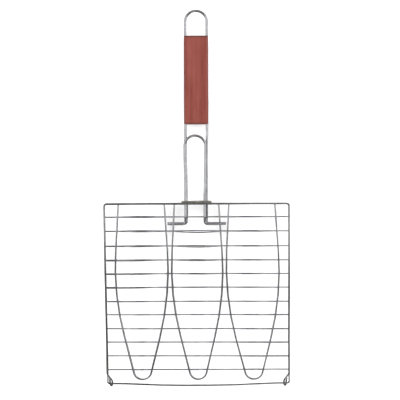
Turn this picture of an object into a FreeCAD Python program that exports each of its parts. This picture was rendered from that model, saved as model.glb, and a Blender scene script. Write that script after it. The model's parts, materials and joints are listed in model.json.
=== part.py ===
import FreeCAD, Part
import math
import os
from FreeCAD import Vector

# A hinged wire basket for grilling three fish. Two welded wire halves, the base and the lid, fold
# together about the base's end bar. Each half has a handle loop; the base's long one carries a
# wooden grip, and a loose ring round both loops locks the basket shut.
#
# Millimetres, +X to the right, +Y towards the handle, +Z up. The basket lies flat on the base's
# humps. Everything is drawn with the hinge axis as Y = 0 and the plane where the halves meet as
# Z = 0, and moved to the part's origin, the middle of its footprint, when it is written out.

# Wire diameters
FRAME_WIRE = 2.8
CROSS_WIRE = 1.9
FISH_WIRE = 2.5
MAIN_HANDLE_WIRE = 4.5
LID_HANDLE_WIRE = 4.1
RING_WIRE = 2.6
WELD_BITE = 0.15  # how far two wires sink into each other where they are welded

# Frames
FRAME_LEVEL = 5.8  # height of a frame's centre line over the plane between the halves
BORDER_Y = 286.9
BORDER_HALF_WIDTH = 148.4
HINGE_HALF_WIDTH = 144.9
BORDER_CORNER_RADIUS = 4.0
HINGE_CORNER_RADIUS = 3.5
FRAME_DROP_Y = 20.0  # where the side wires start to slope to the hinge
FRAME_DROP_RADIUS = 12.0

# End bar, bowed outward between the eyes
BAR_BOW = 3.2
BAR_BOW_OUTER_X = 118.0
BAR_BOW_INNER_X = 60.0
BAR_BOW_OUTER_RADIUS = 700.0
BAR_BOW_INNER_RADIUS = 1400.0

# Hinge eyes, at the ends of the lid's frame
EYE_TURN_Y = 15.0  # where the side wires turn in towards the eyes
EYE_TURN_RADIUS = 8.0
EYE_X = 136.8  # where the wire crosses straight over the end bar
EYE_LEAD = 5.0  # level run of wire before the bar
EYE_REACH = 3.3  # from the bar's centre line to the wire's, above, below and behind the bar
EYE_BEND_RADIUS = 3.0
EYE_RETURN_X = 140.0  # where it comes back under the bar
EYE_TAIL = (141.5, 8.8)  # where it ends, beside the side wire

# Cross wires, numbered from the handle to the hinge
ROW_COUNT = 12
FIRST_ROW_Y = 266.2
HEAD_ROW_GAPS = 3  # the first gaps are a little wider than the rest
HEAD_ROW_PITCH = 23.1
ROW_PITCH = 21.9
ROW_END_OVERHANG = 0.9

# Humps of the cross wires inside a fish outline
HUMP_DEPTH = 16.0  # from the plane between the halves to the wire's centre line
HUMP_HEAD_Y = 243.0  # full depth lies between these two
HUMP_BELLY_Y = 150.0
HUMP_HEAD_DEPTH = 11.5
HUMP_TAIL_DEPTH = 8.5
HUMP_FOOT_RADIUS = 8.0
HUMP_MARGIN = 1.0  # a hump starts this far outside the fish wire
HUMP_LEAN = {"left": 0.4, "middle": 1.3, "right": 0.0}  # the lid's to the handle, the base's away
DIP_LEVEL = 1.15  # the first row passes inside the handle legs at this height
DIP_RAMP = 14.0

# Fish outlines, as half of a symmetric outline
FISH_PITCH = 88.8
OUTER_GIRTH = 1.0
MIDDLE_GIRTH = 0.962
MOUTH_HALF_WIDTH = 36.9
BELLY_CORNER_X = 45.8
BELLY_CORNER_Y = 141.8
BELLY_RADIUS = 455.0
TAIL_CORNER_X = 11.1
TAIL_Y = 6.4
TAIL_RADIUS = 13.9
FISH_END_PAST_BORDER = 1.1
FISH_RAMP_BOTTOM = 3.5  # the strand is under the border from here
FISH_RAMP_TOP = 18.0
FISH_RAMP_RADIUS = 20.0

# Handles
MAIN_LOOP_APEX_Y = 598.25
MAIN_LOOP_HALF_WIDTH = 17.4
MAIN_LEG_HALF_WIDTH = 15.9
MAIN_TAPER = (300.0, 404.0)
MAIN_FOOT_Y = 255.1
MAIN_FOOT_TIP_X = 47.0
LID_LOOP_APEX_Y = 396.2
LID_LOOP_HALF_WIDTH = 16.7
LID_LEG_HALF_WIDTH = 15.4
LID_TAPER = (300.0, 366.0)
LID_FOOT_Y = 254.4
LID_FOOT_TIP_X = 42.5
LID_HANDLE_SHIFT = -2.2  # the lid's loop sits a little to the left
FOOT_BEND_RADIUS = 4.5
LEG_BEND_RADIUS = 20.0
TAPER_BEND_RADIUS = 600.0

# Wooden grip
GRIP_START_Y = 415.2
GRIP_LENGTH = 142.1
GRIP_HALF_WIDTH = 19.25
GRIP_THICKNESS = 16.0
GRIP_EDGE_RADIUS = 3.0
GRIP_END_RADIUS = 0.8
GROOVE_CLEARANCE = 0.05

# Locking ring
RING_HALF_WIDTH = 24.4  # outside
RING_SLACK = 0.5  # between the ring and the two handle wires, above and below
RING_CORNER_RADIUS = 4.0
RING_GAP_TO_BORDER = 0.3

SHORTEST_RUN = 1e-4  # a straight run between two bends that is shorter than this is left out

frame_r = FRAME_WIRE / 2
cross_r = CROSS_WIRE / 2
fish_r = FISH_WIRE / 2
ring_r = RING_WIRE / 2

# Heights of the layers over the plane between the halves; the base's are the same downwards
cross_level = FRAME_LEVEL - frame_r - cross_r + WELD_BITE
fish_level = cross_level + cross_r + fish_r - WELD_BITE
fish_end_level = FRAME_LEVEL - frame_r - fish_r + WELD_BITE

LID = 1
BASE = -1
FISHES = {
    "left": (-FISH_PITCH, OUTER_GIRTH),
    "middle": (0.0, MIDDLE_GIRTH),
    "right": (FISH_PITCH, OUTER_GIRTH),
}

# From the drawing's origin to the part's origin
hinge_end_y = -EYE_REACH - frame_r
handle_end_y = MAIN_LOOP_APEX_Y + MAIN_HANDLE_WIRE / 2
to_part_origin = Vector(0, -(hinge_end_y + handle_end_y) / 2, HUMP_DEPTH + cross_r)


def bend(before, corner, after, radius):
    """Start, middle and end of the arc that rounds one corner of a path."""
    back = (before - corner).normalize()
    onward = (after - corner).normalize()
    half_turn = (math.pi - back.getAngle(onward)) / 2
    setback = radius * math.tan(half_turn)
    inward = (back + onward).normalize()
    middle = corner + inward * (radius / math.cos(half_turn) - radius)
    return corner + back * setback, middle, corner + onward * setback


def bent_path(points, radii):
    """Straight runs joined by tangent arcs, one radius for each inner point."""
    edges = []
    start = points[0]
    for index, radius in enumerate(radii):
        arc_start, arc_middle, arc_end = bend(*points[index:index + 3], radius)
        if start.distanceToPoint(arc_start) > SHORTEST_RUN:
            edges.append(Part.LineSegment(start, arc_start).toShape())
            start = arc_start
        edges.append(Part.Arc(start, arc_middle, arc_end).toShape())
        start = arc_end
    if start.distanceToPoint(points[-1]) > SHORTEST_RUN:
        edges.append(Part.LineSegment(start, points[-1]).toShape())
    return Part.Wire(edges)


def round_wire(points, radii, wire_r):
    """A solid round wire along a bent path."""
    path = bent_path(points, radii)
    section = Part.Wire(Part.makeCircle(wire_r, points[0], points[1] - points[0]))
    return path.makePipeShell([section], True, False)


def left_and_right(half_points):
    """A path that runs down one side and back up the other, the mirror of it in X = 0."""
    other_half = [Vector(-point.x, point.y, point.z) for point in reversed(half_points)]
    return half_points + other_half


def closed_by_mirror(half):
    """Joins a half solid that ends on X = 0 to its mirror image."""
    return half.fuse(half.mirror(Vector(0, 0, 0), Vector(1, 0, 0))).removeSplitter()


def side_wire_x(y):
    """Distance of a frame's side wire from the middle."""
    share = (y - FRAME_DROP_Y) / (BORDER_Y - FRAME_DROP_Y)
    return HINGE_HALF_WIDTH + share * (BORDER_HALF_WIDTH - HINGE_HALF_WIDTH)


def base_frame():
    """The closed frame of the base, with the end bar that the lid turns on."""
    points = [
        Vector(0, BORDER_Y, -FRAME_LEVEL),
        Vector(BORDER_HALF_WIDTH, BORDER_Y, -FRAME_LEVEL),
        Vector(HINGE_HALF_WIDTH, FRAME_DROP_Y, -FRAME_LEVEL),
        Vector(HINGE_HALF_WIDTH, 0, 0),
        Vector(BAR_BOW_OUTER_X, 0, 0),
        Vector(BAR_BOW_INNER_X, -BAR_BOW, 0),
        Vector(0, -BAR_BOW, 0),
    ]
    radii = [
        BORDER_CORNER_RADIUS,
        FRAME_DROP_RADIUS,
        HINGE_CORNER_RADIUS,
        BAR_BOW_OUTER_RADIUS,
        BAR_BOW_INNER_RADIUS,
    ]
    return closed_by_mirror(round_wire(points, radii, frame_r))


def lid_frame():
    """The lid's frame, open at the hinge, with each end bent round the end bar into an eye."""
    turn = Vector(HINGE_HALF_WIDTH, EYE_TURN_Y, FRAME_LEVEL)
    tail_x, tail_y = EYE_TAIL
    points = [
        Vector(0, BORDER_Y, FRAME_LEVEL),
        Vector(BORDER_HALF_WIDTH, BORDER_Y, FRAME_LEVEL),
        turn,
        Vector(EYE_X, EYE_LEAD, EYE_REACH),
        Vector(EYE_X, -EYE_REACH, EYE_REACH),
        Vector(EYE_RETURN_X, -EYE_REACH, -EYE_REACH),
        Vector(tail_x, tail_y, -EYE_REACH),
    ]
    radii = [BORDER_CORNER_RADIUS, EYE_TURN_RADIUS, EYE_TURN_RADIUS] + 2 * [EYE_BEND_RADIUS]
    return closed_by_mirror(round_wire(points, radii, frame_r))


def fish_half_width(y):
    """Half the width of a fish outline at one place along it."""
    mouth = Vector(MOUTH_HALF_WIDTH, BORDER_Y, 0)
    belly = Vector(BELLY_CORNER_X, BELLY_CORNER_Y, 0)
    tail = Vector(TAIL_CORNER_X, TAIL_Y, 0)
    arc_start, arc_middle, arc_end = bend(mouth, belly, tail, BELLY_RADIUS)
    if y > arc_start.y:
        share = (y - arc_start.y) / (mouth.y - arc_start.y)
        return arc_start.x + share * (mouth.x - arc_start.x)
    if y < arc_end.y:
        share = (y - arc_end.y) / (tail.y - arc_end.y)
        return arc_end.x + share * (tail.x - arc_end.x)
    centre = Part.Circle(arc_start, arc_middle, arc_end).Center
    return centre.x + math.sqrt(BELLY_RADIUS ** 2 - (y - centre.y) ** 2)


def fish_wire(centre_x, girth, half):
    """A U-shaped wire along one fish outline, lying on the cross wires and under the border."""
    end_y = BORDER_Y + FISH_END_PAST_BORDER
    ramp_bottom_y = BORDER_Y - FISH_RAMP_BOTTOM
    ramp_top_y = BORDER_Y - FISH_RAMP_TOP
    strand = [
        Vector(fish_half_width(end_y), end_y, fish_end_level),
        Vector(fish_half_width(ramp_bottom_y), ramp_bottom_y, fish_end_level),
        Vector(fish_half_width(ramp_top_y), ramp_top_y, fish_level),
        Vector(BELLY_CORNER_X, BELLY_CORNER_Y, fish_level),
        Vector(TAIL_CORNER_X, TAIL_Y, fish_level),
    ]
    radii = [FISH_RAMP_RADIUS, FISH_RAMP_RADIUS, BELLY_RADIUS, TAIL_RADIUS * girth]
    points = []
    for point in left_and_right(strand):
        points.append(Vector(centre_x + girth * point.x, point.y, half * point.z))
    return round_wire(points, radii + radii[::-1], fish_r)


def hump_depth(y):
    """How far the cross wires bulge, a fish's thickness from its head to its tail."""
    if y > HUMP_HEAD_Y:
        past = (y - HUMP_HEAD_Y) / (FIRST_ROW_Y - HUMP_HEAD_Y)
        return HUMP_DEPTH - (HUMP_DEPTH - HUMP_HEAD_DEPTH) * past ** 2
    if y < HUMP_BELLY_Y:
        past = (HUMP_BELLY_Y - y) / HUMP_BELLY_Y
        return HUMP_DEPTH - (HUMP_DEPTH - HUMP_TAIL_DEPTH) * past ** 1.5
    return HUMP_DEPTH


def hump(centre_x, half_width, y, lean):
    """Corner points and radii of one hump: a foot bend, the arch and a foot bend."""
    rise = hump_depth(y) - cross_level
    slope = 2 * math.atan(rise / half_width)
    arch_r = (half_width ** 2 + rise ** 2) / (2 * rise) - HUMP_FOOT_RADIUS
    foot_x = half_width - HUMP_FOOT_RADIUS * math.tan(slope / 2)
    peak = foot_x * math.tan(slope)
    points = [
        Vector(centre_x - foot_x, y, cross_level),
        Vector(centre_x, y + lean * peak / rise, cross_level + peak),
        Vector(centre_x + foot_x, y, cross_level),
    ]
    return points, [HUMP_FOOT_RADIUS, arch_r, HUMP_FOOT_RADIUS]


def dip(centre_x, half_width, y):
    """Corner points and radii of the shallow dip that the handle legs lie across."""
    points = [
        Vector(centre_x - half_width, y, cross_level),
        Vector(centre_x - half_width + DIP_RAMP, y, DIP_LEVEL),
        Vector(centre_x + half_width - DIP_RAMP, y, DIP_LEVEL),
        Vector(centre_x + half_width, y, cross_level),
    ]
    return points, 4 * [HUMP_FOOT_RADIUS]


def row_y(row):
    """Where a cross wire lies, counted from the handle."""
    head_gaps = min(row, HEAD_ROW_GAPS)
    return FIRST_ROW_Y - head_gaps * HEAD_ROW_PITCH - (row - head_gaps) * ROW_PITCH


def cross_wire(row, half):
    """One cross wire, from side wire to side wire, with a hump for each fish."""
    y = row_y(row)
    lean_share = half * max(0, y - HUMP_BELLY_Y) / (FIRST_ROW_Y - HUMP_BELLY_Y)
    end_x = side_wire_x(y) + ROW_END_OVERHANG
    points = [Vector(-end_x, y, cross_level)]
    radii = []
    for name, (centre_x, girth) in FISHES.items():
        half_width = girth * fish_half_width(y) + HUMP_MARGIN
        if row == 0 and name == "middle":
            shape = dip(centre_x, half_width, y)
        else:
            shape = hump(centre_x, half_width, y, lean_share * HUMP_LEAN[name])
        points += shape[0]
        radii += shape[1]
    points.append(Vector(end_x, y, cross_level))
    return round_wire([Vector(p.x, p.y, half * p.z) for p in points], radii, cross_r)


def handle_wire(half, wire_r, foot, leg_x, loop, taper):
    """A handle loop: feet under the fish wires, legs over the first row, then the long loop."""
    foot_tip_x, foot_y = foot
    loop_x, apex_y = loop
    level = FRAME_LEVEL - frame_r - wire_r + WELD_BITE
    over_row = DIP_LEVEL + cross_r + wire_r
    points = [
        Vector(foot_tip_x, foot_y, half * level),
        Vector(leg_x, foot_y, half * level),
        Vector(leg_x, FIRST_ROW_Y, half * over_row),
        Vector(leg_x, BORDER_Y - frame_r, half * level),
        Vector(leg_x, taper[0], half * level),
        Vector(loop_x, taper[1], half * level),
        Vector(loop_x, apex_y, half * level),
    ]
    radii = [FOOT_BEND_RADIUS] + 2 * [LEG_BEND_RADIUS] + 2 * [TAPER_BEND_RADIUS] + [loop_x]
    return round_wire(left_and_right(points), radii + radii[::-1], wire_r)


def main_handle_wire():
    """The base's long handle loop, whose end hangs on a hook."""
    return handle_wire(
        BASE,
        MAIN_HANDLE_WIRE / 2,
        (MAIN_FOOT_TIP_X, MAIN_FOOT_Y),
        MAIN_LEG_HALF_WIDTH,
        (MAIN_LOOP_HALF_WIDTH, MAIN_LOOP_APEX_Y),
        MAIN_TAPER,
    )


def lid_handle_wire():
    """The lid's short handle loop, which lies on the long one."""
    wire = handle_wire(
        LID,
        LID_HANDLE_WIRE / 2,
        (LID_FOOT_TIP_X, LID_FOOT_Y),
        LID_LEG_HALF_WIDTH,
        (LID_LOOP_HALF_WIDTH, LID_LOOP_APEX_Y),
        LID_TAPER,
    )
    return wire.translated(Vector(LID_HANDLE_SHIFT, 0, 0))


def wood_grip():
    """A flat block with rounded edges and a groove down each side for the handle wire."""
    wire_r = MAIN_HANDLE_WIRE / 2
    wire_z = FRAME_LEVEL - frame_r - wire_r + WELD_BITE
    corner = Vector(-GRIP_HALF_WIDTH, GRIP_START_Y, -wire_z - GRIP_THICKNESS / 2)
    block = Part.makeBox(2 * GRIP_HALF_WIDTH, GRIP_LENGTH, GRIP_THICKNESS, corner)
    long_edges = [edge for edge in block.Edges if edge.Length > 2 * GRIP_HALF_WIDTH + 1]
    block = block.makeFillet(GRIP_EDGE_RADIUS, long_edges)
    end_edges = []
    for face in block.Faces:
        if abs(face.normalAt(0, 0).y) > 0.99:
            end_edges += face.Edges
    block = block.makeFillet(GRIP_END_RADIUS, end_edges)
    for side in (-1, 1):
        foot = Vector(side * MAIN_LOOP_HALF_WIDTH, GRIP_START_Y - 1, -wire_z)
        groove_r = wire_r + GROOVE_CLEARANCE
        block = block.cut(Part.makeCylinder(groove_r, GRIP_LENGTH + 2, foot, Vector(0, 1, 0)))
        mouth = Vector(side * (MAIN_LOOP_HALF_WIDTH + groove_r), 0, -wire_z)
        mouth.y = GRIP_START_Y - 1
        opening = Part.makeBox(2 * groove_r, GRIP_LENGTH + 2, 2 * groove_r, mouth)
        opening.translate(Vector(-groove_r, 0, -groove_r))
        block = block.cut(opening)
    return block


def lock_ring():
    """The flattened ring round both handle loops, resting against the frames' borders."""
    y = BORDER_Y + frame_r + RING_GAP_TO_BORDER + ring_r
    level = FRAME_LEVEL - frame_r + WELD_BITE + RING_SLACK + ring_r
    end_x = RING_HALF_WIDTH - ring_r
    points = [
        Vector(0, y, level),
        Vector(end_x, y, level),
        Vector(end_x, y, -level),
        Vector(0, y, -level),
    ]
    return closed_by_mirror(round_wire(points, 2 * [RING_CORNER_RADIUS], ring_r))


def half_nodes(name, half):
    """The grid wires of one half: the cross wires and the fish outlines."""
    nodes = {}
    for row in range(ROW_COUNT):
        nodes[f"{name}_cross_wire_{row + 1:02d}"] = cross_wire(row, half)
    for fish, (centre_x, girth) in FISHES.items():
        nodes[f"{name}_fish_wire_{fish}"] = fish_wire(centre_x, girth, half)
    return nodes


nodes = {
    "base_frame": base_frame(),
    **half_nodes("base", BASE),
    "main_handle_wire": main_handle_wire(),
    "wood_grip": wood_grip(),
    "lid_frame": lid_frame(),
    **half_nodes("lid", LID),
    "lid_handle_wire": lid_handle_wire(),
    "lock_ring": lock_ring(),
}

os.makedirs("parts", exist_ok=True)
for node, shape in nodes.items():
    shape.translate(to_part_origin)
    shape.exportStep(f"parts/{node}.step")
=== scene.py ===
import json
import math

import bmesh
import bpy
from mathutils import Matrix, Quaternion, Vector, noise


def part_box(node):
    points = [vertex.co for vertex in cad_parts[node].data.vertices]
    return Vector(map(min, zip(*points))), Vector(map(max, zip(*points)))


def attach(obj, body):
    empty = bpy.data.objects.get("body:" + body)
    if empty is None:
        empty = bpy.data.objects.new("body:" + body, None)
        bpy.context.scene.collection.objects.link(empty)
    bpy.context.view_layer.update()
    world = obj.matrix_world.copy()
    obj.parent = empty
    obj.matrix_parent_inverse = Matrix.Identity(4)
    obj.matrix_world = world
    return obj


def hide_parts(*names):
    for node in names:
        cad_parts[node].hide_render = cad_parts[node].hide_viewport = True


# A hinged wire basket for grilling three fish, seen from above on a pale studio floor. The wires
# are fine round tubes along the same bent paths as the CAD wires, which then settle a little, as
# in a basket welded by hand. Places are measured from the hinge axis: x to the right, y from the
# hinge towards the handle, and z up from the plane between the halves.

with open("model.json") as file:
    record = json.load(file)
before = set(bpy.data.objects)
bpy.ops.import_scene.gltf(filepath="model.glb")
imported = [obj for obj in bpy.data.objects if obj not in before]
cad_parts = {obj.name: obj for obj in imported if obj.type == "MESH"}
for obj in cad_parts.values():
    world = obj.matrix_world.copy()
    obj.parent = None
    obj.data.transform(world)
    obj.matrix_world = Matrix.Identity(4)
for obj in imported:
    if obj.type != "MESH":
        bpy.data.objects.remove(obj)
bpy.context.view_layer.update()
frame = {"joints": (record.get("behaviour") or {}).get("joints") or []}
hinge = Vector(next(j for j in frame["joints"] if j["name"] == "lid_hinge")["pos_m"])

MM = 0.001
LID = 1
BASE = -1
HALVES = {"base": BASE, "lid": LID}

# Wire radii and layers
FRAME_R = 1.4 * MM
CROSS_R = 0.95 * MM
FISH_R = 1.25 * MM
MAIN_HANDLE_R = 2.25 * MM
LID_HANDLE_R = 2.05 * MM
RING_R = 1.3 * MM
WELD_BITE = 0.15 * MM
FRAME_LEVEL = 5.8 * MM
CROSS_LEVEL = FRAME_LEVEL - FRAME_R - CROSS_R + WELD_BITE
FISH_LEVEL = CROSS_LEVEL + CROSS_R + FISH_R - WELD_BITE
FISH_END_LEVEL = FRAME_LEVEL - FRAME_R - FISH_R + WELD_BITE

# Frames
BORDER_Y = 286.9 * MM
BORDER_HALF_WIDTH = 148.4 * MM
HINGE_HALF_WIDTH = 144.9 * MM
BORDER_CORNER_R = 4.0 * MM
HINGE_CORNER_R = 3.5 * MM
FRAME_DROP_Y = 20.0 * MM
FRAME_DROP_R = 12.0 * MM
BAR_BOW = 3.2 * MM
BAR_BOW_OUTER_X = 118.0 * MM
BAR_BOW_INNER_X = 60.0 * MM
BAR_BOW_OUTER_R = 700.0 * MM
BAR_BOW_INNER_R = 1400.0 * MM
EYE_TURN_Y = 15.0 * MM
EYE_TURN_R = 8.0 * MM
EYE_X = 136.8 * MM
EYE_LEAD = 5.0 * MM
EYE_REACH = 3.3 * MM
EYE_BEND_R = 3.0 * MM
EYE_RETURN_X = 140.0 * MM
EYE_TAIL = (141.5 * MM, 8.8 * MM)

# Humps of the cross wires. A hump leans along y, and more so towards the handle: the lid's humps
# lean to the handle and the base's away from it. Rows are counted from the handle.
ROW_COUNT = 12
HUMP_FOOT_R = 8.0 * MM
HUMP_MARGIN = 1.0 * MM
HUMP_LEAN = {
    "left": {LID: 0.4 * MM, BASE: 0.4 * MM},
    "middle": {LID: 0.3 * MM, BASE: 2.0 * MM},
    "right": {LID: 0.0, BASE: 0.0},
}
HUMP_BELLY_Y = 150.0 * MM
FIRST_ROW_Y = 266.2 * MM
# How far along y some rows are welded off their pitch
ROW_SLIP = {1: -0.4 * MM, 3: -0.7 * MM, 7: -0.7 * MM, 9: -0.5 * MM, 12: 0.3 * MM}
# The dip in the first row's middle, which the handles' legs pass over
DIP_LEVEL = 1.15 * MM
DIP_RAMP = 14.0 * MM

# Fish outlines: the centre's x and the girth of each, then the corners of one side of girth 1
FISHES = {"left": (-88.8 * MM, 1.0), "middle": (0.0, 0.962), "right": (88.8 * MM, 1.0)}
MOUTH = Vector((36.9 * MM, BORDER_Y, 0))
BELLY = Vector((45.8 * MM, 141.8 * MM, 0))
TAIL = Vector((11.1 * MM, 6.4 * MM, 0))
BELLY_R = 455.0 * MM
TAIL_R = 13.9 * MM
FISH_END_PAST_BORDER = 1.1 * MM
FISH_RAMP_BOTTOM = 3.5 * MM
FISH_RAMP_TOP = 18.0 * MM
FISH_RAMP_R = 20.0 * MM

# Handles, in mm: foot tip x, foot y, leg x, loop x, apex y, and the two y between which the legs
# taper out to the loop
MAIN_HANDLE = (47.0, 255.1, 15.9, 17.4, 598.25, 300.0, 404.0)
LID_HANDLE = (42.5, 254.4, 15.4, 16.7, 396.2, 300.0, 366.0)
LID_HANDLE_SHIFT = -2.2 * MM
FOOT_BEND_R = 4.5 * MM
LEG_BEND_R = 20.0 * MM
TAPER_BEND_R = 600.0 * MM

# Ring
RING_HALF_WIDTH = 24.4 * MM
RING_CORNER_R = 4.0 * MM
RING_SLACK = 0.5 * MM
RING_STANDOFF = 0.3 * MM
RING_Y = BORDER_Y + FRAME_R + RING_STANDOFF + RING_R
RING_JOINT_X = 3.0 * MM
RING_JOINT_GAP = 0.12 * MM
RING_JOINT_STEP = 0.3 * MM
RING_JOINT_RISE_X = (-6.0 * MM, 14.0 * MM)

# Grip
GRIP_HALF_WIDTH = 19.25 * MM
GRIP_THICKNESS = 16.0 * MM
GRIP_EDGE_R = 3.0 * MM
GRIP_END_R = 0.8 * MM
GRIP_CROWN = 0.25 * MM
GRIP_SANDING = 0.004
GRIP_SANDING_WAVES = (40, 25, 40)
GRIP_LIP = 0.5 * MM
GRIP_LIP_WEAR = 0.12 * MM
GROOVE_CLEARANCE = 0.05 * MM
GRIP_STATIONS = 48
GRIP_END_STEPS = 4
GRIP_FACE_STEPS = 6
GRIP_ARC_STEPS = 8

# How far in from the grip's ends and sides it is darker, and how much, in shares of the far end's:
# darker towards the ends, and painted shade along the rounded sides
GRIP_FAR_DARKENING = (1.2 * MM, 3.4 * MM)
GRIP_NEAR_DARKENING = (0.6 * MM, 2.0 * MM)
GRIP_SIDE_SHADE = 1.1 * MM
NEAR_DARKENING_SHARE = 0.3
SIDE_SHADE_SHARE = 0.55

# Welds, as the half sizes of their beads
GRID_WELD = (1.2 * MM, 1.1 * MM, 0.55 * MM)
LEG_WELD = (1.7 * MM, 1.5 * MM, 0.7 * MM)
BUTT_WELD = (0.7 * MM, 1.46 * MM, 1.46 * MM)
WELD_LUMPS = 0.16
WELD_LUMP_WAVES = 1.7
WELD_SHIFT_X = 3.7
WELD_SHIFT_Y = 1.3

# How far the hand-welded grid strays from straight, and between which places that grows or fades
SETTLE = 0.5 * MM
SETTLE_WAVES = 9.0
SETTLE_OFFSET = {LID: Vector((3.1, 7.7, 0)), BASE: Vector((-3.1, 7.7, 0))}
SWAY = {LID: 1.65 * MM, BASE: 2.2 * MM}
RACK = 0.8 * MM
BASE_SAG = 1.3 * MM
RACK_START_Y = (15.0 * MM, 50.0 * MM)
SETTLE_START_Y = (18.0 * MM, 50.0 * MM)
HANDLE_FEET_Y = (232.0 * MM, 250.0 * MM)
HANDLE_FEET_X = (52.0 * MM, 75.0 * MM)
SAG_X = (60.0 * MM, 130.0 * MM)
SAG_FROM_Y = (120.0 * MM, 150.0 * MM)
SAG_TO_Y = (205.0 * MM, 230.0 * MM)

# Fineness of the meshes
ARC_STEP = math.radians(5)
RUN_STEP = 6.0 * MM
SHORTEST_STEP = 0.02 * MM
GRID_SIDES = 14
RING_SIDES = 18
HANDLE_SIDES = 20

# A wire's cut ends, in shares of its radius: how long the eased part is, and its radius at the end
CUT_END_NIP = 0.3
CUT_END_SHARE = 0.72

# The values that most of a noise lies between
NOISE_LOW = 0.35
NOISE_HIGH = 0.65

# The Mix node's colour sockets, by number because each kind of data has an A, a B and a Result
MIX_A = 6
MIX_B = 7
MIX_RESULT = 2


# ---------------------------------------------------------------- paths

def bent_path(corners, radii):
    """Points along straight runs joined by tangent arcs, one radius for each inner corner."""
    path = [corners[0]]
    for before, corner, after, radius in zip(corners, corners[1:], corners[2:], radii):
        back = (before - corner).normalized()
        onward = (after - corner).normalized()
        turn = math.pi - back.angle(onward)
        inward = (back + onward).normalized()
        centre = corner + inward * (radius / math.cos(turn / 2))
        spoke = corner + back * (radius * math.tan(turn / 2)) - centre
        axis = onward.cross(back)
        steps = max(2, math.ceil(turn / ARC_STEP))
        for step in range(steps + 1):
            path.append(centre + Quaternion(axis, turn * step / steps) @ spoke)
    path.append(corners[-1])
    return evenly(path)


def evenly(path):
    """Drops doubled points and puts more along the long runs."""
    kept = [path[0]]
    for point in path[1:]:
        gap = (point - kept[-1]).length
        if gap < SHORTEST_STEP:
            continue
        pieces = math.ceil(gap / RUN_STEP)
        start = kept[-1]
        for piece in range(1, pieces + 1):
            kept.append(start.lerp(point, piece / pieces))
    return kept


def left_and_right(half):
    """A path down one side and back up the other."""
    return half + [Vector((-p.x, p.y, p.z)) for p in reversed(half)]


def smooth_step(low, high, value):
    """0 below the low end, 1 above the high end, and smooth between them."""
    share = min(1.0, max(0.0, (value - low) / (high - low)))
    return share * share * (3 - 2 * share)


def settled(point, half):
    """Where a point of a half really lies, because hand-welded grids are never quite straight.
    Both halves sway and rack a little towards the hinge, the base's rows sag at the left, and
    each half's wires wander together. The handles and the ring stay true. The wander is not the
    same each run: noise_vector is not seeded here, and Blender starts it from a new seed."""
    to_hinge = 1 - min(point.y, BORDER_Y) / BORDER_Y
    sway = SWAY[half] * to_hinge
    rack = -RACK * to_hinge * point.x / BORDER_HALF_WIDTH * smooth_step(*RACK_START_Y, point.y)
    clear_of_hinge = smooth_step(*SETTLE_START_Y, point.y)
    at_handle = smooth_step(*HANDLE_FEET_Y, point.y) * (
        1 - smooth_step(*HANDLE_FEET_X, abs(point.x)))
    flat = Vector((point.x, point.y, 0)) * SETTLE_WAVES + SETTLE_OFFSET[half]
    wander = noise.noise_vector(flat) * SETTLE * clear_of_hinge * (1 - at_handle)
    sag = 0.0
    if half == BASE:
        beside = smooth_step(*SAG_X, -point.x)
        sag = BASE_SAG * beside * smooth_step(*SAG_FROM_Y, point.y) * (
            1 - smooth_step(*SAG_TO_Y, point.y))
    return point + Vector((sway + wander.x, rack + wander.y - sag, 0))


# ---------------------------------------------------------------- meshes

def new_object(name, mesh, material):
    """Puts a mesh into the scene as one object with one material."""
    mesh.materials.append(material)
    piece = bpy.data.objects.new(name, mesh)
    bpy.context.scene.collection.objects.link(piece)
    return piece


def finished(bm, name, material):
    """Turns a mesh into an object once it is built, with all its faces pointing outwards."""
    bmesh.ops.recalc_face_normals(bm, faces=bm.faces)
    mesh = bpy.data.meshes.new(name)
    bm.to_mesh(mesh)
    bm.free()
    return new_object(name, mesh, material)


def rings_along(path):
    """Each point of a path with two axes across it, carried along without twisting."""
    rings = []
    tangent = (path[1] - path[0]).normalized()
    across = tangent.orthogonal().normalized()
    for index, point in enumerate(path):
        before = path[max(index - 1, 0)]
        after = path[min(index + 1, len(path) - 1)]
        turned = (after - before).normalized()
        across = tangent.rotation_difference(turned) @ across
        tangent = turned
        rings.append((point, across, tangent.cross(across)))
    return rings


def tube_into(bm, path, radius, sides):
    """Adds a round wire with slightly rounded cut ends, and its UVs: round and along, in metres."""
    uv = bm.loops.layers.uv.verify()
    stations = [(ring, 1.0) for ring in rings_along(path)]
    nip = CUT_END_NIP * radius
    first, last = stations[0][0], stations[-1][0]
    first_step = (path[1] - path[0]).normalized() * nip
    last_step = (path[-2] - path[-1]).normalized() * nip
    stations[0] = (first, CUT_END_SHARE)
    stations[-1] = (last, CUT_END_SHARE)
    stations.insert(1, ((first[0] + first_step, *first[1:]), 1.0))
    stations.insert(-1, ((last[0] + last_step, *last[1:]), 1.0))
    loops = []
    lengths = []
    travelled = 0.0
    previous = None
    for (point, across, up), share in stations:
        loop = []
        for side in range(sides):
            angle = 2 * math.pi * side / sides
            spoke = across * math.cos(angle) + up * math.sin(angle)
            loop.append(bm.verts.new(hinge + point + spoke * (radius * share)))
        loops.append(loop)
        travelled += (point - previous).length if previous else 0.0
        previous = point
        lengths.append(travelled)
    for index in range(len(loops) - 1):
        for side in range(sides):
            other = (side + 1) % sides
            face = bm.faces.new((
                loops[index][side],
                loops[index][other],
                loops[index + 1][other],
                loops[index + 1][side],
            ))
            face.smooth = True
            corners = ((side, index), (side + 1, index), (side + 1, index + 1), (side, index + 1))
            for corner, (turn, station) in zip(face.loops, corners):
                corner[uv].uv = (turn / sides, lengths[station])
    for loop, flip in ((loops[0], True), (loops[-1], False)):
        cap = bm.faces.new(reversed(loop) if flip else loop)
        for edge in cap.edges:
            edge.smooth = False


def wire_object(name, path, radius, material, sides=GRID_SIDES):
    """One piece made of one round wire."""
    bm = bmesh.new()
    tube_into(bm, path, radius, sides)
    return finished(bm, name, material)


# ---------------------------------------------------------------- routes of the wires

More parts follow.
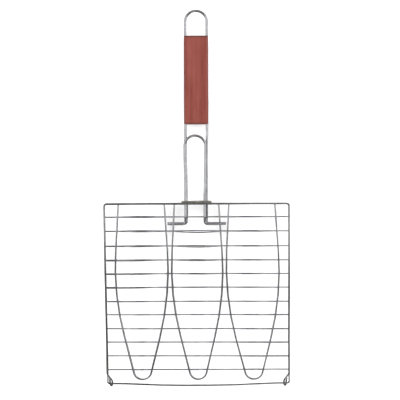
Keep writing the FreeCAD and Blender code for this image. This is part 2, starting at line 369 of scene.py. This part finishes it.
def side_wire_x(y):
    """How far out the frames' side wires lie, at one place along them."""
    share = (y - FRAME_DROP_Y) / (BORDER_Y - FRAME_DROP_Y)
    return HINGE_HALF_WIDTH + share * (BORDER_HALF_WIDTH - HINGE_HALF_WIDTH)


def base_frame_path():
    """The closed frame, from the butt weld in its border round to the same place."""
    half = [
        Vector((0, BORDER_Y, -FRAME_LEVEL)),
        Vector((BORDER_HALF_WIDTH, BORDER_Y, -FRAME_LEVEL)),
        Vector((HINGE_HALF_WIDTH, FRAME_DROP_Y, -FRAME_LEVEL)),
        Vector((HINGE_HALF_WIDTH, 0, 0)),
        Vector((BAR_BOW_OUTER_X, 0, 0)),
        Vector((BAR_BOW_INNER_X, -BAR_BOW, 0)),
    ]
    radii = [BORDER_CORNER_R, FRAME_DROP_R, HINGE_CORNER_R, BAR_BOW_OUTER_R, BAR_BOW_INNER_R]
    return bent_path(left_and_right(half), radii + radii[::-1])


def lid_frame_path():
    """The open frame, from one hinge eye round the border to the other."""
    turn = Vector((HINGE_HALF_WIDTH, EYE_TURN_Y, FRAME_LEVEL))
    tail_x, tail_y = EYE_TAIL
    half = [
        Vector((BORDER_HALF_WIDTH, BORDER_Y, FRAME_LEVEL)),
        turn,
        Vector((EYE_X, EYE_LEAD, EYE_REACH)),
        Vector((EYE_X, -EYE_REACH, EYE_REACH)),
        Vector((EYE_RETURN_X, -EYE_REACH, -EYE_REACH)),
        Vector((tail_x, tail_y, -EYE_REACH)),
    ]
    radii = [BORDER_CORNER_R, EYE_TURN_R, EYE_TURN_R] + 2 * [EYE_BEND_R]
    return bent_path(left_and_right(half[::-1]), radii[::-1] + radii)


def fish_half_width(y):
    """Half the width of a fish outline, girth 1, at one place along it."""
    back = (MOUTH - BELLY).normalized()
    onward = (TAIL - BELLY).normalized()
    half_turn = (math.pi - back.angle(onward)) / 2
    setback = BELLY_R * math.tan(half_turn)
    start = BELLY + back * setback
    end = BELLY + onward * setback
    if y > start.y:
        return start.lerp(MOUTH, (y - start.y) / (MOUTH.y - start.y)).x
    if y < end.y:
        return end.lerp(TAIL, (end.y - y) / (end.y - TAIL.y)).x
    centre = BELLY + (back + onward).normalized() * (BELLY_R / math.cos(half_turn))
    return centre.x + math.sqrt(BELLY_R ** 2 - (y - centre.y) ** 2)


def fish_path(centre_x, girth, half):
    """A fish's outline, from one end on the border round the tail to the other."""
    end_y = BORDER_Y + FISH_END_PAST_BORDER
    strand = [Vector((0, end_y, FISH_END_LEVEL))]
    strand.append(Vector((0, BORDER_Y - FISH_RAMP_BOTTOM, FISH_END_LEVEL)))
    strand.append(Vector((0, BORDER_Y - FISH_RAMP_TOP, FISH_LEVEL)))
    for point in strand:
        point.x = fish_half_width(point.y) if point.y < BORDER_Y else MOUTH.x
    strand += [Vector((p.x, p.y, FISH_LEVEL)) for p in (BELLY, TAIL)]
    radii = [FISH_RAMP_R, FISH_RAMP_R, BELLY_R, TAIL_R * girth]
    corners = []
    for point in left_and_right(strand):
        corners.append(Vector((centre_x + girth * point.x, point.y, half * point.z)))
    return bent_path(corners, radii + radii[::-1])


def row_facts(row):
    """Where a row lies, how deep its humps are and where it ends, read from the CAD wires. Some
    rows are welded a little off their pitch."""
    low, high = (corner - hinge for corner in map(Vector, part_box(f"lid_cross_wire_{row:02d}")))
    return low.y + CROSS_R + ROW_SLIP.get(row, 0.0), high.z - CROSS_R, high.x


def hump(centre_x, half_width, y, depth, lean):
    """The corners and radii of a hump: a foot, a broad arch that can lean, and a foot."""
    rise = depth - CROSS_LEVEL
    slope = 2 * math.atan(rise / half_width)
    arch_r = (half_width ** 2 + rise ** 2) / (2 * rise) - HUMP_FOOT_R
    foot_x = half_width - HUMP_FOOT_R * math.tan(slope / 2)
    peak = foot_x * math.tan(slope)
    corners = [
        Vector((centre_x - foot_x, y, CROSS_LEVEL)),
        Vector((centre_x, y + lean * peak / rise, CROSS_LEVEL + peak)),
        Vector((centre_x + foot_x, y, CROSS_LEVEL)),
    ]
    return corners, [HUMP_FOOT_R, arch_r, HUMP_FOOT_R]


def dip(centre_x, half_width, y):
    """The corners and radii of the dip, which is in the place of a hump."""
    corners = [
        Vector((centre_x - half_width, y, CROSS_LEVEL)),
        Vector((centre_x - half_width + DIP_RAMP, y, DIP_LEVEL)),
        Vector((centre_x + half_width - DIP_RAMP, y, DIP_LEVEL)),
        Vector((centre_x + half_width, y, CROSS_LEVEL)),
    ]
    return corners, 4 * [HUMP_FOOT_R]


def cross_path(row, half):
    """A cross wire, from left to right over the three fishes."""
    y, depth, end_x = row_facts(row)
    lean_share = half * max(0, y - HUMP_BELLY_Y) / (FIRST_ROW_Y - HUMP_BELLY_Y)
    corners = [Vector((-end_x, y, CROSS_LEVEL))]
    radii = []
    for name, (centre_x, girth) in FISHES.items():
        half_width = girth * fish_half_width(y) + HUMP_MARGIN
        if row == 1 and name == "middle":
            shape = dip(centre_x, half_width, y)
        else:
            shape = hump(centre_x, half_width, y, depth, lean_share * HUMP_LEAN[name][half])
        corners += shape[0]
        radii += shape[1]
    corners.append(Vector((end_x, y, CROSS_LEVEL)))
    return bent_path([Vector((p.x, p.y, half * p.z)) for p in corners], radii)


def handle_path(half, wire_r, sizes, shift):
    """A handle's wire, from one foot over the border, round the loop and back to the other foot."""
    tip_x, foot_y, leg_x, loop_x, apex_y, taper_start, taper_end = (size * MM for size in sizes)
    level = half * (FRAME_LEVEL - FRAME_R - wire_r + WELD_BITE)
    over_row = half * (DIP_LEVEL + CROSS_R + wire_r)
    side = [
        Vector((tip_x, foot_y, level)),
        Vector((leg_x, foot_y, level)),
        Vector((leg_x, row_facts(1)[0], over_row)),
        Vector((leg_x, BORDER_Y - FRAME_R, level)),
        Vector((leg_x, taper_start, level)),
        Vector((loop_x, taper_end, level)),
        Vector((loop_x, apex_y, level)),
    ]
    radii = [FOOT_BEND_R] + 2 * [LEG_BEND_R] + 2 * [TAPER_BEND_R] + [loop_x]
    path = bent_path(left_and_right(side), radii + radii[::-1])
    return [point + Vector((shift, 0, 0)) for point in path]


def ring_path(joint_x, half_length, level):
    """The ring's wire from one side of its butt joint, round the handles, to the other side."""
    corners = [
        Vector((joint_x - RING_JOINT_GAP, RING_Y, level)),
        Vector((-half_length, RING_Y, level)),
        Vector((-half_length, RING_Y, -level)),
        Vector((half_length, RING_Y, -level)),
        Vector((half_length, RING_Y, level)),
        Vector((joint_x + RING_JOINT_GAP, RING_Y, level)),
    ]
    path = bent_path(corners, 4 * [RING_CORNER_R])
    for point in path:
        if point.z > 0:
            point.y += RING_JOINT_STEP * smooth_step(*RING_JOINT_RISE_X, point.x)
    return path


# ---------------------------------------------------------------- materials

def new_material(name, roughness):
    """A material with a Principled shader, and the coordinates for its patterns."""
    material = bpy.data.materials.new(name)
    material.use_nodes = True
    tree = material.node_tree
    shader = tree.nodes["Principled BSDF"]
    shader.inputs["Roughness"].default_value = roughness
    return material, tree, shader, tree.nodes.new("ShaderNodeTexCoord")


def stretched_noise(tree, source, stretch, scale, detail):
    """Noise with its grains drawn out, at so many grains to the metre or to the UV unit."""
    mapping = tree.nodes.new("ShaderNodeMapping")
    mapping.inputs["Scale"].default_value = stretch
    texture = tree.nodes.new("ShaderNodeTexNoise")
    texture.inputs["Scale"].default_value = scale
    texture.inputs["Detail"].default_value = detail
    tree.links.new(source, mapping.inputs["Vector"])
    tree.links.new(mapping.outputs["Vector"], texture.inputs["Vector"])
    return texture.outputs["Fac"]


def shaded(tree, value, stops):
    """Colours along a value, as (place, colour) pairs."""
    ramp = tree.nodes.new("ShaderNodeValToRGB")
    elements = ramp.color_ramp.elements
    while len(elements) < len(stops):
        elements.new(0.5)
    for element, (place, colour) in zip(elements, stops):
        element.position = place
        element.color = (*colour, 1)
    tree.links.new(value, ramp.inputs["Fac"])
    return ramp.outputs["Color"]


def spread(tree, value, low, high):
    """A number that follows the middle of a noise from one end to the other."""
    band = tree.nodes.new("ShaderNodeMapRange")
    band.inputs["From Min"].default_value = NOISE_LOW
    band.inputs["From Max"].default_value = NOISE_HIGH
    band.inputs["To Min"].default_value = low
    band.inputs["To Max"].default_value = high
    tree.links.new(value, band.inputs["Value"])
    return band.outputs["Result"]


def blend(tree, how, colour_a, colour_b):
    """A blend of two colours, wholly in until its factor is set or linked."""
    mix = tree.nodes.new("ShaderNodeMix")
    mix.data_type = "RGBA"
    mix.blend_type = how
    mix.inputs["Factor"].default_value = 1.0
    tree.links.new(colour_a, mix.inputs[MIX_A])
    tree.links.new(colour_b, mix.inputs[MIX_B])
    return mix


def multiplied(tree, colour_a, colour_b):
    """Two colours multiplied together."""
    return blend(tree, "MULTIPLY", colour_a, colour_b).outputs[MIX_RESULT]


def mixed(tree, share, colour_a, colour_b):
    """The first colour where the share is 0, and the second where it is 1."""
    mix = blend(tree, "MIX", colour_a, colour_b)
    tree.links.new(share, mix.inputs["Factor"])
    return mix.outputs[MIX_RESULT]


def bumped(tree, shader, height, strength, distance):
    """Makes a surface look as if it had a height of its own."""
    bump = tree.nodes.new("ShaderNodeBump")
    bump.inputs["Strength"].default_value = strength
    bump.inputs["Distance"].default_value = distance
    tree.links.new(height, bump.inputs["Height"])
    tree.links.new(bump.outputs["Normal"], shader.inputs["Normal"])


def plated_wire(name, dark, light, polish, dullness):
    """Plated wire: mottled plating over the fine lines that drawing leaves along the wire."""
    material, tree, shader, coords = new_material(name, polish)
    shader.inputs["Metallic"].default_value = 1.0
    mottle = stretched_noise(tree, coords.outputs["Object"], (1, 1, 1), 70, 3)
    drawn = stretched_noise(tree, coords.outputs["UV"], (14, 30, 1), 1, 3)
    colour = shaded(tree, mottle, [(NOISE_LOW, dark), (NOISE_HIGH, light)])
    tree.links.new(colour, shader.inputs["Base Color"])
    tree.links.new(spread(tree, drawn, polish, dullness), shader.inputs["Roughness"])
    bumped(tree, shader, drawn, 0.12, 0.1 * MM)
    return material


def weld_metal(name):
    """Dull, slightly heat-browned plating over the pitted face of a spot weld."""
    material, tree, shader, coords = new_material(name, 0.4)
    shader.inputs["Metallic"].default_value = 1.0
    pits = stretched_noise(tree, coords.outputs["Object"], (1, 1, 1), 900, 3)
    browned, bright = (0.22, 0.21, 0.20), (0.44, 0.43, 0.44)
    colour = shaded(tree, pits, [(NOISE_LOW, browned), (NOISE_HIGH, bright)])
    tree.links.new(colour, shader.inputs["Base Color"])
    tree.links.new(spread(tree, pits, 0.5, 0.28), shader.inputs["Roughness"])
    bumped(tree, shader, pits, 0.4, 0.2 * MM)
    return material


def stained_wood(name):
    """Reddish-brown stain over straight grain along the grip, deeper in pores, darker towards the
    ends, and with painted shade along the rounded sides.
    """
    material, tree, shader, coords = new_material(name, 0.45)
    place = coords.outputs["Object"]
    bands = stretched_noise(tree, place, (1, 0.035, 1), 190, 3)
    fibres = stretched_noise(tree, place, (1, 0.03, 1), 1300, 4)
    pores = stretched_noise(tree, place, (1, 0.05, 1), 2400, 2)
    blotches = stretched_noise(tree, place, (1, 0.4, 1), 45, 2)
    broad = shaded(tree, bands, [
        (0.28, (0.147, 0.0235, 0.0145)),
        (0.50, (0.178, 0.0345, 0.0225)),
        (0.72, (0.198, 0.045, 0.033)),
    ])
    fine = shaded(tree, fibres, [(0.3, (0.88, 0.84, 0.84)), (0.7, (1.10, 1.10, 1.10))])
    worn = shaded(tree, blotches, [
        (NOISE_LOW, (0.93, 0.86, 0.84)),
        (NOISE_HIGH, (1.04, 1.06, 1.07)),
    ])
    dashes = shaded(tree, pores, [(0.66, (1, 1, 1)), (0.74, (0.60, 0.52, 0.52))])
    colour = multiplied(tree, broad, fine)
    colour = multiplied(tree, colour, worn)
    colour = multiplied(tree, colour, dashes)
    # Painted shade along the rounded sides, and darker towards the ends, where the edge attribute
    # is high
    edge = tree.nodes.new("ShaderNodeAttribute")
    edge.attribute_name = "edge"
    dark_ends_and_side_shade = shaded(tree, fibres, [(0.3, (0.045, 0.009, 0.007)), (0.7, (0.075, 0.016, 0.012))])
    colour = mixed(tree, edge.outputs["Fac"], colour, dark_ends_and_side_shade)
    tree.links.new(colour, shader.inputs["Base Color"])
    tree.links.new(spread(tree, fibres, 0.36, 0.56), shader.inputs["Roughness"])
    shader.inputs["Specular IOR Level"].default_value = 0.35
    shader.inputs["Coat Weight"].default_value = 0.1
    shader.inputs["Coat Roughness"].default_value = 0.3
    bumped(tree, shader, fibres, 0.25, 0.15 * MM)
    return material


def pale_paper(name):
    """The studio floor's matt paper."""
    material, tree, shader, coords = new_material(name, 0.9)
    tone = stretched_noise(tree, coords.outputs["Object"], (1, 1, 1), 3, 2)
    colour = shaded(tree, tone, [(0.3, (0.92, 0.92, 0.92)), (0.7, (0.94, 0.94, 0.94))])
    tree.links.new(colour, shader.inputs["Base Color"])
    return material


# ---------------------------------------------------------------- pieces

def placed(piece, body, slot, *nodes):
    """Says which body a piece rides on and which CAD nodes it stands for, which it hides. Its slot,
    the finish, is not used.
    """
    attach(piece, body)
    for node in nodes:
        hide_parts(node)


def grip_outline():
    """The grip's section, round from the middle of its top: crowned faces, rounded edges and a
    groove down each side for the handle wire."""
    half_w, half_t, round_r = GRIP_HALF_WIDTH, GRIP_THICKNESS / 2, GRIP_EDGE_R
    groove_r = MAIN_HANDLE_R + GROOVE_CLEARANCE
    groove_x = MAIN_HANDLE[3] * MM
    quarter = []
    for step in range(GRIP_FACE_STEPS + 1):
        x = (half_w - round_r) * step / GRIP_FACE_STEPS
        quarter.append((x, half_t - GRIP_CROWN * (x / half_w) ** 2))
    drop = GRIP_CROWN * ((half_w - round_r) / half_w) ** 2
    for step in range(1, GRIP_ARC_STEPS + 1):
        turn = math.radians(90 * step / GRIP_ARC_STEPS)
        x = half_w - round_r + round_r * math.sin(turn)
        quarter.append((x, half_t - drop - round_r + round_r * math.cos(turn)))
    lip = [(half_w, groove_r + GRIP_LIP), (half_w - GRIP_LIP_WEAR, groove_r + GRIP_LIP_WEAR)]
    groove = []
    for step in range(GRIP_ARC_STEPS + 1):
        turn = math.radians(90 - 90 * step / GRIP_ARC_STEPS)
        groove.append((groove_x - groove_r * math.cos(turn), groove_r * math.sin(turn)))
    top_right = quarter + lip + [(groove_x, groove_r)] + groove[1:]
    right = top_right + [(x, -z) for x, z in reversed(top_right[:-1])]
    return right + [(-x, z) for x, z in reversed(right[1:-1])]


def wood_grip_piece(material):
    """The grip, lofted along its length from the CAD grip's ends, with its ends eased."""
    low, high = (corner - hinge for corner in map(Vector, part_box("wood_grip")))
    middle_z = (low.z + high.z) / 2
    outline = grip_outline()
    end = []
    for step in range(GRIP_END_STEPS + 1):
        turn = math.radians(90 * step / GRIP_END_STEPS)
        end.append((GRIP_END_R * (1 - math.sin(turn)), GRIP_END_R * (1 - math.cos(turn))))
    places = [(low.y + along, inset) for inset, along in end]
    for step in range(1, GRIP_STATIONS):
        places.append((low.y + (high.y - low.y) * step / GRIP_STATIONS, 0.0))
    places += [(high.y - along, inset) for inset, along in reversed(end)]
    wave_x, wave_y, wave_z = GRIP_SANDING_WAVES
    bm = bmesh.new()
    edge_layer = bm.verts.layers.float.new("edge")
    loops = []
    for y, inset in places:
        loop = []
        for x, z in outline:
            shrink_x = 1 - inset / GRIP_HALF_WIDTH
            shrink_z = 1 - inset / (GRIP_THICKNESS / 2)
            ripple = noise.noise(Vector((x * wave_x, y * wave_y, z * wave_z)))
            sanded = 1 + GRIP_SANDING * ripple
            place = Vector((x * shrink_x * sanded, y, middle_z + z * shrink_z * sanded))
            vert = bm.verts.new(hinge + place)
            # Darker towards the ends, and painted shade along the rounded sides
            at_far_end = 1 - smooth_step(*GRIP_FAR_DARKENING, high.y - y)
            at_near_end = 1 - smooth_step(*GRIP_NEAR_DARKENING, y - low.y)
            at_shaded_side = smooth_step(GRIP_HALF_WIDTH - GRIP_SIDE_SHADE, GRIP_HALF_WIDTH, abs(x))
            vert[edge_layer] = max(
                at_far_end, NEAR_DARKENING_SHARE * at_near_end, SIDE_SHADE_SHARE * at_shaded_side)
            loop.append(vert)
        loops.append(loop)
    count = len(outline)
    for one, other in zip(loops, loops[1:]):
        for corner in range(count):
            following = (corner + 1) % count
            face = bm.faces.new((one[corner], one[following], other[following], other[corner]))
            face.smooth = True
    for loop in (loops[0], loops[-1]):
        cap = bm.faces.new(loop)
        for edge in cap.edges:
            edge.smooth = False
    return finished(bm, "wood_grip_fine", material)


def nugget_into(bm, place, radii, seed):
    """Adds a small uneven bead of weld metal."""
    made = bmesh.ops.create_icosphere(bm, subdivisions=2, radius=1.0)
    for vert in made["verts"]:
        shift = Vector((seed * WELD_SHIFT_X, seed * WELD_SHIFT_Y, 0))
        lump = 1 + WELD_LUMPS * noise.noise(vert.co * WELD_LUMP_WAVES + shift)
        offset = Vector(c * r for c, r in zip(vert.co, radii)) * lump
        vert.co = hinge + place + offset
    for face in bm.faces:
        face.smooth = True


def crossings(half):
    """Where the wires of one half are welded together, and how big each weld is."""
    places = []
    row_weld = half * (CROSS_LEVEL + CROSS_R - WELD_BITE / 2)
    for row in range(1, ROW_COUNT + 1):
        y = row_facts(row)[0]
        for side in (-1, 1):
            places.append((Vector((side * side_wire_x(y), y, row_weld)), GRID_WELD))
            for centre_x, girth in FISHES.values():
                x = centre_x + side * girth * fish_half_width(y)
                places.append((Vector((x, y, row_weld)), GRID_WELD))
    border_weld = half * (FRAME_LEVEL - FRAME_R + WELD_BITE / 2)
    for side in (-1, 1):
        for centre_x, girth in FISHES.values():
            x = centre_x + side * girth * MOUTH.x
            places.append((Vector((x, BORDER_Y, border_weld)), GRID_WELD))
    return places


def weld_piece(name, half, handle, shift, material):
    """All the welds of one half as one piece."""
    bm = bmesh.new()
    for index, (place, radii) in enumerate(crossings(half)):
        nugget_into(bm, settled(place, half), radii, index)
    foot_tip, foot_y, leg_x = (size * MM for size in handle[:3])
    border_weld = half * (FRAME_LEVEL - FRAME_R + WELD_BITE / 2)
    strand_x = FISHES["middle"][1] * fish_half_width(foot_y)
    for side in (-1, 1):
        leg = Vector((side * leg_x + shift, BORDER_Y, border_weld))
        foot = Vector((side * strand_x, foot_y, half * (FISH_LEVEL - FISH_R + WELD_BITE)))
        nugget_into(bm, leg, LEG_WELD, side * leg_x)
        nugget_into(bm, foot, LEG_WELD, side * foot_tip)
    nugget_into(bm, settled(Vector((0, BORDER_Y, half * FRAME_LEVEL)), half), BUTT_WELD, half)
    return finished(bm, name, material)


grid_wire = plated_wire("grid_wire_plating", (0.50, 0.50, 0.53), (0.66, 0.66, 0.69), 0.08, 0.2)
# The frame's plating is the grid's plating made darker: painted shade
frame_wire = plated_wire("frame_plating_painted_darker", (0.45, 0.45, 0.45), (0.58, 0.58, 0.57), 0.08, 0.2)
# The handles' plating is the grid's plating made lighter: painted light
handle_wire = plated_wire("handle_plating_painted_lighter", (0.68, 0.68, 0.71), (0.80, 0.80, 0.83), 0.12, 0.26)
# The ring's olive tone is its own, and its plating is made lighter as painted light
ring_wire = plated_wire("olive_ring_plating_painted_lighter", (0.58, 0.56, 0.45), (0.70, 0.68, 0.55), 0.2, 0.36)
welds = weld_metal("spot_welds")
wood = stained_wood("stained_wood_grain")

for name, half in HALVES.items():
    for row in range(1, ROW_COUNT + 1):
        node = f"{name}_cross_wire_{row:02d}"
        path = [settled(p, half) for p in cross_path(row, half)]
        placed(wire_object(node + "_fine", path, CROSS_R, grid_wire), name, "grid_wire", node)
    for fish, (centre_x, girth) in FISHES.items():
        node = f"{name}_fish_wire_{fish}"
        path = [settled(p, half) for p in fish_path(centre_x, girth, half)]
        placed(wire_object(node + "_fine", path, FISH_R, grid_wire), name, "grid_wire", node)
    frame_path = base_frame_path() if half == BASE else lid_frame_path()
    path = [settled(p, half) for p in frame_path]
    piece = wire_object(f"{name}_frame_fine", path, FRAME_R, frame_wire)
    placed(piece, name, "frame_wire", f"{name}_frame")

path = handle_path(BASE, MAIN_HANDLE_R, MAIN_HANDLE, 0)
piece = wire_object("main_handle_fine", path, MAIN_HANDLE_R, handle_wire, HANDLE_SIDES)
placed(piece, "base", "handle_wire", "main_handle_wire")
path = handle_path(LID, LID_HANDLE_R, LID_HANDLE, LID_HANDLE_SHIFT)
piece = wire_object("lid_handle_fine", path, LID_HANDLE_R, handle_wire, HANDLE_SIDES)
placed(piece, "lid", "handle_wire", "lid_handle_wire")

placed(weld_piece("base_welds", BASE, MAIN_HANDLE, 0, welds), "base", "grid_wire")
placed(weld_piece("lid_welds", LID, LID_HANDLE, LID_HANDLE_SHIFT, welds), "lid", "grid_wire")

ring_level = FRAME_LEVEL - FRAME_R + WELD_BITE + RING_SLACK + RING_R
path = ring_path(RING_JOINT_X, RING_HALF_WIDTH - RING_R, ring_level)
piece = wire_object("lock_ring_fine", path, RING_R, ring_wire, RING_SIDES)
placed(piece, "ring", "ring_wire", "lock_ring")

placed(wood_grip_piece(wood), "base", "stained_wood", "wood_grip")


# ---------------------------------------------------------------- stage

FLOOR_REACH = 6.0
DISTANCE = 3.5
VIEW_WIDTH = 0.6403
CAMERA_PLACE = (0.0054, -0.1962, hinge.z + DISTANCE)
CAMERA_TARGET = (0.0056, -0.0051, hinge.z)
CAMERA_ROLL = -0.00268

# Softboxes: place, target, width and height in metres, and watts
SOFTBOXES = {
    "left_softbox": ((-0.9, 0.52, 0.8), (0, 0.52, 0), (1.1, 1.1), 4.2),
    "right_softbox": ((0.9, 0.52, 0.8), (0, 0.52, 0), (1.1, 1.1), 4.2),
    "near_softbox": ((0.45, -1.2, 0.7), (0.35, 0, 0), (0.8, 0.7), 1.9),
    "far_softbox": ((0, 1.5, 0.9), (0, 0.2, 0), (1.6, 0.9), 2.9),
}

# The pale room's strength, and the grey that the wires mirror in its place
ROOM_STRENGTH = 1.7
MIRRORED_GREY = 0.155

floor_mesh = bpy.data.meshes.new("floor")
floor_corners = [
    (x * FLOOR_REACH, y * FLOOR_REACH, 0) for x, y in ((-1, -1), (1, -1), (1, 1), (-1, 1))]
floor_mesh.from_pydata(floor_corners, [], [(0, 1, 2, 3)])
floor = new_object("floor", floor_mesh, pale_paper("floor_paper"))
floor.visible_glossy = False


def aimed(thing, location, target, roll=0.0):
    """Puts a camera or light at a place, looking at a target, with the top towards +Y."""
    thing.location = location
    look = (Vector(target) - Vector(location)).to_track_quat("-Z", "Y")
    thing.rotation_euler = (look @ Quaternion((0, 0, 1), roll)).to_euler()
    bpy.context.scene.collection.objects.link(thing)


camera_data = bpy.data.cameras.new("camera")
camera_data.lens = camera_data.sensor_width * DISTANCE / VIEW_WIDTH
camera = bpy.data.objects.new("camera", camera_data)
aimed(camera, CAMERA_PLACE, CAMERA_TARGET, CAMERA_ROLL)
bpy.context.scene.camera = camera


def softbox(name, location, target, size, energy):
    """A rectangular lamp that the wires mirror, but that the camera doesn't see."""
    data = bpy.data.lights.new(name, "AREA")
    data.shape = "RECTANGLE"
    data.size, data.size_y = size
    data.energy = energy
    lamp = bpy.data.objects.new(name, data)
    lamp.visible_camera = False
    aimed(lamp, location, target)


for name, facts in SOFTBOXES.items():
    softbox(name, *facts)

world = bpy.data.worlds.new("studio")
bpy.context.scene.world = world
world.use_nodes = True
nodes = world.node_tree.nodes
links = world.node_tree.links
pale = nodes["Background"]
pale.inputs["Color"].default_value = (1, 1, 1, 1)
pale.inputs["Strength"].default_value = ROOM_STRENGTH
dark = nodes.new("ShaderNodeBackground")
dark.inputs["Color"].default_value = (MIRRORED_GREY, MIRRORED_GREY, MIRRORED_GREY, 1)
rays = nodes.new("ShaderNodeLightPath")
mix = nodes.new("ShaderNodeMixShader")
links.new(rays.outputs["Is Glossy Ray"], mix.inputs["Fac"])
links.new(pale.outputs["Background"], mix.inputs[1])
links.new(dark.outputs["Background"], mix.inputs[2])
links.new(mix.outputs["Shader"], nodes["World Output"].inputs["Surface"])

bpy.context.scene.view_settings.view_transform = "Standard"
